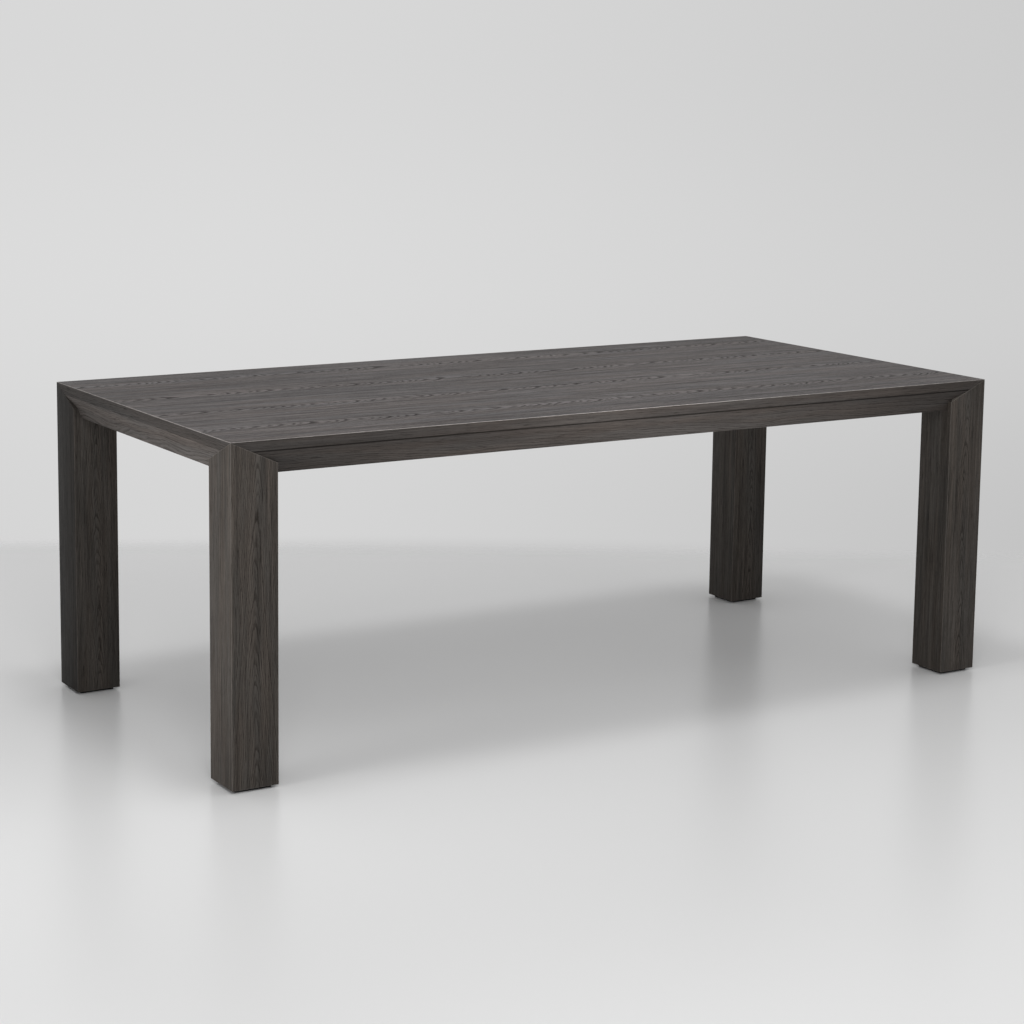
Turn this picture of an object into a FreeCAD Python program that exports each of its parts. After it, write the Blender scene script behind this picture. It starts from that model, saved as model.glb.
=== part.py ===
import FreeCAD, Part
import math
import os
from collections import namedtuple

# A parsons dining table in stained oak veneer, in millimetres.
# The origin is on the floor under the middle of the table: +X runs along the table, +Y across it, +Z up.
# Pieces at a corner are drawn at the front left (-X, -Y) and mirrored to the other three.

Vector = FreeCAD.Vector
ORIGIN = Vector(0, 0, 0)
ALONG_X = Vector(1, 0, 0)
ALONG_Y = Vector(0, 1, 0)
UP = Vector(0, 0, 1)

Screw = namedtuple("Screw", "diameter head_diameter head_height point_length")

# ---- Driving dimensions ----

table_length = 2100.0
table_width = 1000.0
table_height = 760.0

# Top
top_thickness = 24.0            # the flush band under the top's edge, veneers included
veneer_thickness = 0.8
leaf_width = 242.5              # width of a full leaf of the face veneer
rear_leaf_width = 224.0         # the leaf along the rear edge is trimmed to this

# Legs
leg_size = 110.0                # square section
leg_board_thickness = 20.0
shoulder_drop = 50.0            # fall of the diagonal shoulder from the table's corner to the leg's inner edge
top_block_length = 180.0
foot_block_length = 60.0
inner_arris_cut = 24.0          # how far the leg's inner arris is cut back each way, behind the aprons

# Aprons
apron_height = 51.0
apron_thickness = 45.0          # at the top edge
apron_setback = 20.0            # how far the outer face leans in towards its bottom edge
apron_notch_clearance = 0.5     # behind an apron, in the notch of the leg

# Corner blocks
corner_block_thickness = 32.0
corner_block_recess = 3.0       # the block stops this far above the aprons' bottom edges

# Cross rails
cross_rail_count = 3
cross_rail_width = 60.0
cross_rail_height = 40.0

# Foot pads
pad_thickness = 6.5
pad_inset = 12.0

# Dowels in the cross rails' ends
dowel_diameter = 10.0
dowel_length = 40.0
dowel_edge_distance = 15.0      # from a dowel's axis to the cross rail's side
dowel_end_clearance = 1.0

# Hanger bolts, M8, two in each leg, one above the other
bolt_diameter = 8.0
bolt_length = 100.0
bolt_grip_in_leg = 54.0
bolt_point_length = 6.0
bolt_edge_distance = 10.0       # from a bolt's axis to the corner block's top or bottom
bolt_clearance_hole = 9.0
washer_diameter = 16.0
washer_hole = 8.4
washer_thickness = 1.6
nut_across_flats = 13.0
nut_height = 6.5

# Wood screws
rail_screw = Screw(diameter=5.0, head_diameter=10.0, head_height=3.0, point_length=5.0)
rail_screw_cover = 8.0          # wood left between a screw's point and the top surface
apron_screw_counterbore = 17.0
cross_rail_screw_counterbore = 11.0
screws_per_cross_rail = 4
screws_per_free_stretch = 2     # along an apron, between corner blocks and cross rails
block_screw = Screw(diameter=4.5, head_diameter=9.0, head_height=3.0, point_length=4.0)
block_screw_counterbore = 6.0   # measured on the screw's axis from the block's slanting face
block_screw_grip = 20.0         # length held in the apron
block_screw_edge_distance = 12.0
pad_screw = Screw(diameter=4.0, head_diameter=8.0, head_height=2.2, point_length=3.0)
pad_screw_length = 28.0
pad_screw_sink = 1.2            # the heads lie this far inside the pad
pad_screw_edge_distance = 10.0  # from a screw's axis to the foot block's side
counterbore_clearance = 0.5     # round a screw's head
hole_clearance = 0.05           # round a screw, bolt or dowel that its hole grips

# ---- Levels and places worked out from them ----

left_face = -table_length / 2
front_face = -table_width / 2
veneer_underside = table_height - veneer_thickness
top_underside = table_height - top_thickness
apron_bottom = top_underside - apron_height
cross_rail_bottom = top_underside - cross_rail_height
block_bottom = apron_bottom + corner_block_recess
shoulder_slope = shoulder_drop / leg_size
leg_inside = leg_size - leg_board_thickness

# A corner block's two long faces cross the corner at 45 degrees.
# On each face, the distances from the leg's two outer faces add up to one of these.
block_front_sum = 2 * leg_size - inner_arris_cut
block_back_sum = block_front_sum + corner_block_thickness * math.sqrt(2)
block_reach = block_back_sum - apron_thickness

CORNERS = {
    "front_left": (False, False),
    "front_right": (True, False),
    "rear_left": (False, True),
    "rear_right": (True, True),
}


# ---- Shapes and placing ----

def box(x_span, y_span, z_span):
    sizes = [high - low for low, high in (x_span, y_span, z_span)]
    return Part.makeBox(*sizes, Vector(x_span[0], y_span[0], z_span[0]))


def extruded(points, direction):
    """A solid from a closed outline of points, pushed along a direction."""
    return Part.Face(Part.makePolygon(points + points[:1])).extrude(direction)


def upright_prism(plan, z_low, z_high):
    points = [Vector(x, y, z_low) for x, y in plan]
    return extruded(points, UP * (z_high - z_low))


def corner_point(from_end, from_side):
    """The plan position at given distances from the front left leg's end face and side face."""
    return (left_face + from_end, front_face + from_side)


def swap_end_and_side(shape):
    """Mirrors a shape of the front left corner across the corner's diagonal."""
    return shape.mirror(Vector(left_face, front_face, 0), Vector(1, -1, 0))


def mirrored_to_right(shape):
    return shape.mirror(ORIGIN, ALONG_X)


def mirrored_to_rear(shape):
    return shape.mirror(ORIGIN, ALONG_Y)


def at_corner(shape, corner):
    is_right, is_rear = CORNERS[corner]
    if is_right:
        shape = mirrored_to_right(shape)
    if is_rear:
        shape = mirrored_to_rear(shape)
    return shape


def at_every_corner(shapes):
    return [at_corner(shape, corner) for corner in CORNERS for shape in shapes]


def turned_to_left_end(shape):
    """Turns a piece that faces the front by a quarter turn, so that it faces the left end."""
    turned = shape.copy()
    turned.rotate(ORIGIN, UP, -90)
    return turned


def evenly_spaced(low, high, count):
    """The middles of equal parts of a length."""
    step = (high - low) / count
    return [low + step * (index + 0.5) for index in range(count)]


def only_solid(shape):
    return shape.removeSplitter().Solids[0]


def export(name, shape):
    shape.exportStep(f"parts/{name}.step")


# ---- The leg's sloping shoulders ----

def shoulder_height(distance):
    """Height of the leg's shoulder at a distance from the table's corner, along either face."""
    return veneer_underside - shoulder_slope * distance


def side_outline(points, depth):
    """A solid with an outline in XZ, from the front face inwards; x is a distance from the end face."""
    corners = [Vector(left_face + x, front_face, z) for x, z in points]
    return extruded(corners, ALONG_Y * depth)


def room_above_side_shoulder():
    """What an apron along the front and its edge strip take out of the leg's top."""
    outline = [
        (0, shoulder_height(0)),
        (leg_size, shoulder_height(leg_size)),
        (leg_size, table_height),
        (0, table_height),
    ]
    return side_outline(outline, apron_thickness + apron_notch_clearance)


def leg_under_side_shoulder():
    """The part of the leg that an apron or an edge strip along the front is scribed over."""
    outline = [
        (0, apron_bottom),
        (leg_size, apron_bottom),
        (leg_size, shoulder_height(leg_size)),
        (0, shoulder_height(0)),
    ]
    return side_outline(outline, apron_thickness)


# ---- Screws, bolts and dowels ----

def screw_body(screw, seat, direction, length):
    """A pan-headed wood screw whose head bears on the seat; direction is the way it is driven."""
    radius = screw.diameter / 2
    shank_length = length - screw.point_length
    shank = Part.makeCylinder(radius, shank_length, seat, direction)
    point = Part.makeCone(radius, 0, screw.point_length, seat + direction * shank_length, direction)
    head = Part.makeCylinder(screw.head_diameter / 2, screw.head_height, seat, direction * -1)
    return only_solid(shank.fuse([point, head]))


def screw_hole(screw, seat, direction, length, counterbore):
    """The hole for a screw: a snug bore, and room for the head back to the surface."""
    bore = Part.makeCylinder(screw.diameter / 2 + hole_clearance, length, seat, direction)
    head_radius = screw.head_diameter / 2 + counterbore_clearance
    return bore.fuse(Part.makeCylinder(head_radius, counterbore, seat, direction * -1))


def rail_screw_length(seat_height):
    return table_height - rail_screw_cover - seat_height


def free_stretches(span, rail_places):
    """The stretches of an apron's back that no corner block and no cross rail covers."""
    ends = [-span / 2 + block_reach]
    for place in rail_places:
        ends += [place - cross_rail_width / 2, place + cross_rail_width / 2]
    ends.append(span / 2 - block_reach)
    return list(zip(ends[0::2], ends[1::2]))


def cross_rail_places():
    """The cross rails' middles, which part the room between the end aprons equally."""
    inner_length = table_length - 2 * apron_thickness
    step = inner_length / (cross_rail_count + 1)
    return [-inner_length / 2 + step * (index + 1) for index in range(cross_rail_count)]


def apron_screw_seats():
    """Seats of the upright screws that hold all four aprons to the top."""
    from_face = (apron_setback + apron_thickness) / 2
    height = apron_bottom + apron_screw_counterbore
    seats = []
    for low, high in free_stretches(table_length, cross_rail_places()):
        for x in evenly_spaced(low, high, screws_per_free_stretch):
            seats += [Vector(x, side * (table_width / 2 - from_face), height) for side in (-1, 1)]
    for low, high in free_stretches(table_width, []):
        for y in evenly_spaced(low, high, screws_per_free_stretch):
            seats += [Vector(side * (table_length / 2 - from_face), y, height) for side in (-1, 1)]
    return seats


def cross_rail_screw_seats():
    half_length = table_width / 2 - apron_thickness
    height = cross_rail_bottom + cross_rail_screw_counterbore
    rows = evenly_spaced(-half_length, half_length, screws_per_cross_rail)
    return [Vector(x, y, height) for x in cross_rail_places() for y in rows]


def upright_screws(seats):
    return [screw_body(rail_screw, seat, UP, rail_screw_length(seat.z)) for seat in seats]


def upright_screw_holes(seats, counterbore):
    return [screw_hole(rail_screw, seat, UP, rail_screw_length(seat.z), counterbore) for seat in seats]


def block_screw_seats():
    """Seats of the screws that go from the front left corner block into the front apron."""
    from_end = (block_front_sum + block_back_sum) / 2 - apron_thickness
    from_side = block_back_sum - from_end - block_screw_counterbore
    x, y = corner_point(from_end, from_side)
    heights = (block_bottom + block_screw_edge_distance, top_underside - block_screw_edge_distance)
    return [Vector(x, y, height) for height in heights]


def block_screw_length(seat):
    return seat.y - front_face - apron_thickness + block_screw_grip


def corner_block_screws():
    """The front left corner block's screws, into the front apron and into the left end apron."""
    into_front = [
        screw_body(block_screw, seat, ALONG_Y * -1, block_screw_length(seat)) for seat in block_screw_seats()
    ]
    return into_front + [swap_end_and_side(screw) for screw in into_front]


def corner_block_screw_holes():
    into_front = [
        screw_hole(block_screw, seat, ALONG_Y * -1, block_screw_length(seat), corner_block_thickness)
        for seat in block_screw_seats()
    ]
    return into_front + [swap_end_and_side(hole) for hole in into_front]


def bolt_axis():
    """The way a hanger bolt of the front left leg points: diagonally in, towards the middle of the table."""
    return Vector(1, 1, 0).normalize()


def bolt_starts():
    """The inner ends of the front left leg's two bolts, inside its top block."""
    from_corner = block_front_sum / math.sqrt(2) - bolt_grip_in_leg
    start = Vector(left_face, front_face, 0) + bolt_axis() * from_corner
    heights = (block_bottom + bolt_edge_distance, top_underside - bolt_edge_distance)
    return [start + UP * height for height in heights]


def hanger_bolts():
    bolts = []
    radius = bolt_diameter / 2
    for start in bolt_starts():
        point = Part.makeCone(0, radius, bolt_point_length, start, bolt_axis())
        shank_start = start + bolt_axis() * bolt_point_length
        shank = Part.makeCylinder(radius, bolt_length - bolt_point_length, shank_start, bolt_axis())
        bolts.append(only_solid(point.fuse(shank)))
    return bolts


def bolt_holes(diameter):
    return [Part.makeCylinder(diameter / 2, bolt_length, start, bolt_axis()) for start in bolt_starts()]


def bolt_seats():
    """Where the washers bear on the back of the front left corner block."""
    return [start + bolt_axis() * (bolt_grip_in_leg + corner_block_thickness) for start in bolt_starts()]


def bolt_washers():
    washers = []
    for seat in bolt_seats():
        disc = Part.makeCylinder(washer_diameter / 2, washer_thickness, seat, bolt_axis())
        washers.append(disc.cut(Part.makeCylinder(washer_hole / 2, washer_thickness, seat, bolt_axis())))
    return washers


def bolt_nuts():
    """Hexagon nuts with two flats upright, each drawn about Z and laid on its bolt."""
    corner_radius = nut_across_flats / math.sqrt(3)
    angles = [math.radians(60 * index) for index in range(6)]
    outline = [Vector(corner_radius * math.cos(a), corner_radius * math.sin(a), 0) for a in angles]
    hole = Part.makeCylinder(bolt_diameter / 2 + hole_clearance, nut_height)
    nut = extruded(outline, UP * nut_height).cut(hole)
    nuts = []
    for seat in bolt_seats():
        laid = nut.copy()
        laid.Placement = FreeCAD.Placement(seat + bolt_axis() * washer_thickness, FreeCAD.Rotation(UP, bolt_axis()))
        nuts.append(laid)
    return nuts


def dowel_starts():
    """The ends of the dowels that lie in the front apron."""
    height = (cross_rail_bottom + top_underside) / 2
    y = front_face + apron_thickness - dowel_length / 2
    offset = cross_rail_width / 2 - dowel_edge_distance
    return [Vector(place + side * offset, y, height) for place in cross_rail_places() for side in (-1, 1)]


def cross_rail_dowels():
    front = [Part.makeCylinder(dowel_diameter / 2, dowel_length, start, ALONG_Y) for start in dowel_starts()]
    return front + [mirrored_to_rear(dowel) for dowel in front]


def dowel_holes():
    radius = dowel_diameter / 2 + hole_clearance
    length = dowel_length + 2 * dowel_end_clearance
    starts = [start - ALONG_Y * dowel_end_clearance for start in dowel_starts()]
    front = [Part.makeCylinder(radius, length, start, ALONG_Y) for start in starts]
    return front + [mirrored_to_rear(hole) for hole in front]


# ---- Top ----

def face_veneer_leaves():
    """The leaves of the top surface, from the rear edge to the front edge."""
    leaves = []
    rear_edge = table_width / 2
    width = rear_leaf_width
    while rear_edge > front_face:
        front_edge = max(rear_edge - width, front_face)
        x_span = (left_face, -left_face)
        leaves.append(box(x_span, (front_edge, rear_edge), (veneer_underside, table_height)))
        rear_edge = front_edge
        width = leaf_width
    return leaves


def core_spans():
    """The core panel's spans along X and Y, inside the edge strips."""
    half_length = table_length / 2 - leg_board_thickness
    half_width = table_width / 2 - leg_board_thickness
    return (-half_length, half_length), (-half_width, half_width)


def top_screw_holes():
    seats = apron_screw_seats() + cross_rail_screw_seats()
    return upright_screw_holes(seats, apron_screw_counterbore)


def top_core():
    core = box(*core_spans(), (top_underside + veneer_thickness, veneer_underside))
    return only_solid(core.cut(top_screw_holes()))


def balancing_veneer():
    sheet = box(*core_spans(), (top_underside, top_underside + veneer_thickness))
    return only_solid(sheet.cut(top_screw_holes()))


def edge_strip(span, offset):
    """An edge strip along X whose outer face is at y = -offset: mitred in plan, and scribed over the legs' tips."""
    inner_half = span / 2 - leg_board_thickness
    inner_offset = offset - leg_board_thickness
    plan = [(-span / 2, -offset), (span / 2, -offset), (inner_half, -inner_offset), (-inner_half, -inner_offset)]
    strip = upright_prism(plan, top_underside, veneer_underside)
    return scribed_over_legs(strip, span, offset)


# ---- Aprons and what stiffens them ----

def scribed_over_legs(bar, span, offset):
    """Takes the two legs' shoulders out of a bar along X whose outer face is at y = -offset."""
    shoulder = leg_under_side_shoulder()
    shoulder.translate(Vector(-span / 2 - left_face, -offset - front_face, 0))
    return only_solid(bar.cut([shoulder, mirrored_to_right(shoulder)]))


def apron(span, offset):
    """An apron along X: its outer face leans in, and its ends are scribed over the legs' shoulders."""
    section = [
        (-offset, top_underside),
        (-offset + apron_setback, apron_bottom),
        (-offset + apron_thickness, apron_bottom),
        (-offset + apron_thickness, top_underside),
    ]
    points = [Vector(-span / 2, y, z) for y, z in section]
    bar = extruded(points, ALONG_X * span)
    return scribed_over_legs(bar, span, offset)


def apron_holes():
    upright = upright_screw_holes(apron_screw_seats(), apron_screw_counterbore)
    return upright + at_every_corner(corner_block_screw_holes()) + dowel_holes()


def aprons():
    holes = apron_holes()
    front = apron(table_length, table_width / 2)
    left_end = turned_to_left_end(apron(table_width, table_length / 2))
    shapes = {
        "apron_front": front,
        "apron_rear": mirrored_to_rear(front),
        "apron_left_end": left_end,
        "apron_right_end": mirrored_to_right(left_end),
    }
    return {name: only_solid(shape.cut(holes)) for name, shape in shapes.items()}


def edge_strips():
    front = edge_strip(table_length, table_width / 2)
    left_end = turned_to_left_end(edge_strip(table_width, table_length / 2))
    return {
        "edge_strip_front": front,
        "edge_strip_rear": mirrored_to_rear(front),
        "edge_strip_left_end": left_end,
        "edge_strip_right_end": mirrored_to_right(left_end),
    }


def corner_block():
    """The block behind the front left leg, between the backs of the two aprons."""
    plan = [
        corner_point(apron_thickness, block_front_sum - apron_thickness),
        corner_point(block_front_sum - apron_thickness, apron_thickness),
        corner_point(block_reach, apron_thickness),
        corner_point(apron_thickness, block_reach),
    ]
    block = upright_prism(plan, block_bottom, top_underside)
    return only_solid(block.cut(bolt_holes(bolt_clearance_hole) + corner_block_screw_holes()))


def cross_rails():
    half_length = table_width / 2 - apron_thickness
    holes = dowel_holes() + upright_screw_holes(cross_rail_screw_seats(), cross_rail_screw_counterbore)
    rails = []
    for place in cross_rail_places():
        x_span = (place - cross_rail_width / 2, place + cross_rail_width / 2)
        rail = box(x_span, (-half_length, half_length), (cross_rail_bottom, top_underside))
        rails.append(only_solid(rail.cut(holes)))
    return rails


# ---- Legs ----

def leg_cuts():
    """What is taken out of the front left leg: the aprons' room, the flat on its inner arris, the bolts' holes."""
    side_room = room_above_side_shoulder()
    flat_plan = [
        corner_point(leg_size, leg_size - inner_arris_cut),
        corner_point(leg_size, leg_size),
        corner_point(leg_size - inner_arris_cut, leg_size),
    ]
    flat = upright_prism(flat_plan, block_bottom, top_underside)
    holes = bolt_holes(bolt_diameter + 2 * hole_clearance)
    return [side_room, swap_end_and_side(side_room), flat] + holes


def outer_side_board():
    """The board of the front left leg in the table's front face, up to the face veneer."""
    plan = [
        corner_point(0, 0),
        corner_point(leg_size, 0),
        corner_point(leg_inside, leg_board_thickness),
        corner_point(leg_board_thickness, leg_board_thickness),
    ]
    return upright_prism(plan, pad_thickness, veneer_underside)


def inner_side_board():
    """The board of the front left leg that faces along the table, up to the underside of the top."""
    plan = [
        corner_point(leg_size, 0),
        corner_point(leg_size, leg_size),
        corner_point(leg_inside, leg_inside),
        corner_point(leg_inside, leg_board_thickness),
    ]
    return upright_prism(plan, pad_thickness, top_underside)


def leg_block(z_low, z_high):
    """A square block that fills the hollow of the front left leg between two heights."""
    x_low, y_low = corner_point(leg_board_thickness, leg_board_thickness)
    x_high, y_high = corner_point(leg_inside, leg_inside)
    return box((x_low, x_high), (y_low, y_high), (z_low, z_high))


def leg_parts():
    """The pieces of the front left leg, by name."""
    outer = outer_side_board()
    inner = inner_side_board()
    raw = {
        "outer_side_board": outer,
        "outer_end_board": swap_end_and_side(outer),
        "inner_side_board": inner,
        "inner_end_board": swap_end_and_side(inner),
        "top_block": leg_block(top_underside - top_block_length, top_underside),
        "foot_block": leg_block(pad_thickness, pad_thickness + foot_block_length),
    }
    cuts = leg_cuts() + pad_screw_holes()
    return {name: only_solid(shape.cut(cuts)) for name, shape in raw.items()}


# ---- Foot pads ----

def pad_screw_seats():
    """Where the pad screws' heads begin, under the front left leg."""
    low = leg_board_thickness + pad_screw_edge_distance
    high = leg_inside - pad_screw_edge_distance
    points = [corner_point(from_end, from_side) for from_end in (low, high) for from_side in (low, high)]
    return [Vector(x, y, pad_screw_sink) for x, y in points]


def pad_screws():
    """Countersunk screws, up through the pad into the foot block."""
    screws = []
    radius = pad_screw.diameter / 2
    shank_length = pad_screw_length - pad_screw.head_height - pad_screw.point_length
    for seat in pad_screw_seats():
        head = Part.makeCone(pad_screw.head_diameter / 2, radius, pad_screw.head_height, seat, UP)
        shank_start = seat + UP * pad_screw.head_height
        shank = Part.makeCylinder(radius, shank_length, shank_start, UP)
        point = Part.makeCone(radius, 0, pad_screw.point_length, shank_start + UP * shank_length, UP)
        screws.append(only_solid(head.fuse([shank, point])))
    return screws


def pad_screw_holes():
    holes = []
    radius = pad_screw.diameter / 2 + hole_clearance
    head_radius = pad_screw.head_diameter / 2 + hole_clearance
    for seat in pad_screw_seats():
        mouth_start = Vector(seat.x, seat.y, 0)
        mouth = Part.makeCylinder(head_radius, pad_screw_sink, mouth_start, UP)
        countersink = Part.makeCone(head_radius, radius, pad_screw.head_height, seat, UP)
        bore = Part.makeCylinder(radius, pad_screw_length, seat, UP)
        holes.append(bore.fuse([mouth, countersink]))
    return holes


def foot_pad():
    x_low, y_low = corner_point(pad_inset, pad_inset)
    x_high, y_high = corner_point(leg_size - pad_inset, leg_size - pad_inset)
    pad = box((x_low, x_high), (y_low, y_high), (0, pad_thickness))
    return only_solid(pad.cut(pad_screw_holes()))


# ---- The table ----

def table_nodes():
    nodes = {"top_core": top_core(), "top_balancing_veneer": balancing_veneer()}
    for number, leaf in enumerate(face_veneer_leaves(), start=1):
        nodes[f"top_veneer_leaf_{number}"] = leaf
    nodes.update(edge_strips())
    nodes.update(aprons())
    for number, rail in enumerate(cross_rails(), start=1):
        nodes[f"cross_rail_{number}"] = rail
    leg = leg_parts()
    block = corner_block()
    pad = foot_pad()
    for corner in CORNERS:
        for part_name, shape in leg.items():
            nodes[f"leg_{corner}_{part_name}"] = at_corner(shape, corner)
        nodes[f"corner_block_{corner}"] = at_corner(block, corner)
        nodes[f"foot_pad_{corner}"] = at_corner(pad, corner)
    fasteners = {
        "leg_hanger_bolts": at_every_corner(hanger_bolts()),
        "leg_bolt_washers": at_every_corner(bolt_washers()),
        "leg_bolt_nuts": at_every_corner(bolt_nuts()),
        "corner_block_screws": at_every_corner(corner_block_screws()),
        "apron_screws": upright_screws(apron_screw_seats()),
        "cross_rail_screws": upright_screws(cross_rail_screw_seats()),
        "cross_rail_dowels": cross_rail_dowels(),
        "foot_pad_screws": at_every_corner(pad_screws()),
    }
    for name, solids in fasteners.items():
        nodes[name] = Part.makeCompound(solids)
    return nodes


os.makedirs("parts", exist_ok=True)
for node_name, node_shape in table_nodes().items():
    export(node_name, node_shape)
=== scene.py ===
import math
from collections import namedtuple

import bpy
from mathutils import Matrix, Vector


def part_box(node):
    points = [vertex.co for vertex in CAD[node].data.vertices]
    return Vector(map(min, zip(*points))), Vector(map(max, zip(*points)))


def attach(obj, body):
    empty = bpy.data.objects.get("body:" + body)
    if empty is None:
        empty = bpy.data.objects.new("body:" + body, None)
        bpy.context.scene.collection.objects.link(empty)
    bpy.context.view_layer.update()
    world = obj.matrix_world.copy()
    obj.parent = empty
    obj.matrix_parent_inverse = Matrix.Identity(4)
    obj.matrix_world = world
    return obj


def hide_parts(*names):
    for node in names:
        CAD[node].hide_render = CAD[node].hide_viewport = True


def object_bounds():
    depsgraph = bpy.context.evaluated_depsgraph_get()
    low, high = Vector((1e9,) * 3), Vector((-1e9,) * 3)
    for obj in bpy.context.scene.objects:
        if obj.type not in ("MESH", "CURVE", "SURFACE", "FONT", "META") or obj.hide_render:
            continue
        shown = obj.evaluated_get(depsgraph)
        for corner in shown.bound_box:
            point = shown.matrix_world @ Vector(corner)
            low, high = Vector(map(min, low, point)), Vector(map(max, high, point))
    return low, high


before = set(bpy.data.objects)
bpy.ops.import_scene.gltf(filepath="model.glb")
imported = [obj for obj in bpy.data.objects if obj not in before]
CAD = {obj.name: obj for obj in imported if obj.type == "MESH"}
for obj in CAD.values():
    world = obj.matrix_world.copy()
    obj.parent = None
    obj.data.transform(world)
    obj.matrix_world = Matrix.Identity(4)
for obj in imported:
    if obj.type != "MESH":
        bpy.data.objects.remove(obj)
cad_low, cad_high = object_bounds()

# A parsons dining table in dark stained oak veneer.
# Metres throughout: +X runs along the table, +Y across it from front to rear, +Z up.
# Wood patterns are worked out in millimetres.

LEFT, FRONT = cad_low.x, cad_low.y
RIGHT, REAR = cad_high.x, cad_high.y
TOP = cad_high.z
MM = 0.001


# ---- How closely pieces are worked ----

SAME_PLACE = 0.02 * MM
ON_ONE_PLANE = 0.1 * MM
ON_LEANING_FACE = 0.05 * MM
WELD_WITHIN = 0.002 * MM
SAW_WITHIN = 0.001 * MM
FLAT_WITHIN = math.radians(0.5)
SHARP_EDGE = math.radians(20)
SMOOTH_SHADING = math.radians(32)


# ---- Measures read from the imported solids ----

leg_low, leg_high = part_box("leg_front_left_outer_side_board")
LEG_SIZE = leg_high.x - leg_low.x
LEG_BOARD = leg_high.y - leg_low.y
LEG_FOOT = leg_low.z
VENEER_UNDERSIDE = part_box("top_veneer_leaf_1")[0].z
BAND_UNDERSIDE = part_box("edge_strip_front")[0].z
APRON_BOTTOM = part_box("apron_front")[0].z
shoulder_end = max(
    vertex.co.z
    for vertex in CAD["leg_front_left_outer_side_board"].data.vertices
    if abs(vertex.co.x - leg_high.x) < ON_ONE_PLANE
)
SHOULDER_SLOPE = (VENEER_UNDERSIDE - shoulder_end) / LEG_SIZE
APRON_SETBACK = min(
    vertex.co.y
    for vertex in CAD["apron_front"].data.vertices
    if abs(vertex.co.z - APRON_BOTTOM) < ON_ONE_PLANE
) - FRONT


# ---- Eased edges ----

ARRIS_ROUND = 0.9 * MM
ARRIS_TURNS = (15, 30, 45)
TOP_EDGE_EASE = 0.6 * MM
JOINT_EASE = 0.5 * MM
BAND_GROOVE = 1.3 * MM
FOOT_EASE = 1.0 * MM
PAD_CORNER = 3.0 * MM
PAD_EASE = 0.8 * MM

# A bar under the top is eased along its edges that are longer than this and that lie this far down.
BAR_EASE = 1.2 * MM
SHORTEST_BAR_EDGE = 25 * MM
BAR_EASED_BELOW = BAND_UNDERSIDE - 5 * MM

# A pad's edge is upright if it climbs more than this, and on the outline if it is this close to a side.
PAD_CLIMB = 2 * MM
PAD_OUTLINE = 1.2 * MM


# ---- Handling pieces ----

def pick_up(piece):
    """Makes a piece the only selected object."""
    bpy.ops.object.select_all(action="DESELECT")
    piece.select_set(True)
    bpy.context.view_layer.objects.active = piece


def open_up(piece, kind="FACE"):
    """Opens a piece in edit mode with all of it selected."""
    pick_up(piece)
    bpy.ops.object.mode_set(mode="EDIT")
    bpy.ops.mesh.select_mode(type=kind)
    bpy.ops.mesh.select_all(action="SELECT")


def close_up():
    bpy.ops.object.mode_set(mode="OBJECT")


def choose_edges(piece, wanted):
    """Opens a piece with only those of its sharp edges selected whose two ends suit."""
    open_up(piece, "EDGE")
    bpy.ops.mesh.select_all(action="DESELECT")
    close_up()
    mesh = piece.data
    normals = {}
    for face in mesh.polygons:
        for key in face.edge_keys:
            normals.setdefault(key, []).append(face.normal.copy())
    corners = [vertex.co.copy() for vertex in mesh.vertices]
    for edge in mesh.edges:
        beside = normals.get(edge.key, [])
        sharp = len(beside) == 2 and beside[0].angle(beside[1]) > SHARP_EDGE
        edge.select = sharp and wanted(*(corners[index] for index in edge.vertices))
    bpy.ops.object.mode_set(mode="EDIT")


def near(value, target):
    return abs(value - target) < SAME_PLACE


def block(name, low, high):
    """A box of given corners, ready to be shaped."""
    bpy.ops.object.select_all(action="DESELECT")
    bpy.ops.mesh.primitive_cube_add(size=1, location=(low + high) / 2, scale=high - low)
    piece = bpy.context.object
    piece.name = name
    piece.data.name = name
    bpy.ops.object.transform_apply(location=True, rotation=True, scale=True)
    return piece


def merged_copy(name, node):
    """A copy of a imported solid's mesh, welded, with its flat faces whole again."""
    piece = bpy.data.objects.new(name, CAD[node].data.copy())
    bpy.context.scene.collection.objects.link(piece)
    piece.data.name = name
    piece.data.materials.clear()
    pick_up(piece)
    bpy.ops.mesh.customdata_custom_splitnormals_clear()
    open_up(piece)
    bpy.ops.mesh.remove_doubles(threshold=WELD_WITHIN)
    bpy.ops.mesh.dissolve_limited(angle_limit=FLAT_WITHIN)
    close_up()
    return piece


def saw(piece, point, normal):
    """Cuts a piece along a plane and takes away the side that the normal points to."""
    open_up(piece)
    bpy.ops.mesh.bisect(
        plane_co=point, plane_no=normal, use_fill=True, clear_outer=True, threshold=SAW_WITHIN
    )
    close_up()


def ease(piece, wanted, width, segments=1):
    """Takes a small bevel off the edges that suit."""
    choose_edges(piece, wanted)
    bpy.ops.mesh.bevel(offset=width, segments=segments, affect="EDGES", clamp_overlap=True)
    close_up()


def ease_line(piece, point, one_normal, other_normal, width):
    """Planes the edge off between two faces of a piece, along the whole line through a point of it."""
    normal = (one_normal + other_normal).normalized()
    saw(piece, point - normal * (width * math.sqrt(0.5)), normal)


def round_arris(piece, corner, face_normal, next_normal):
    """Rounds a board's half of a mitred arris, up to the mitre."""
    centre = corner - ARRIS_ROUND * (face_normal + next_normal)
    for turn in ARRIS_TURNS:
        angle = math.radians(turn)
        normal = math.cos(angle) * face_normal + math.sin(angle) * next_normal
        saw(piece, centre + ARRIS_ROUND * normal, normal)


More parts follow.
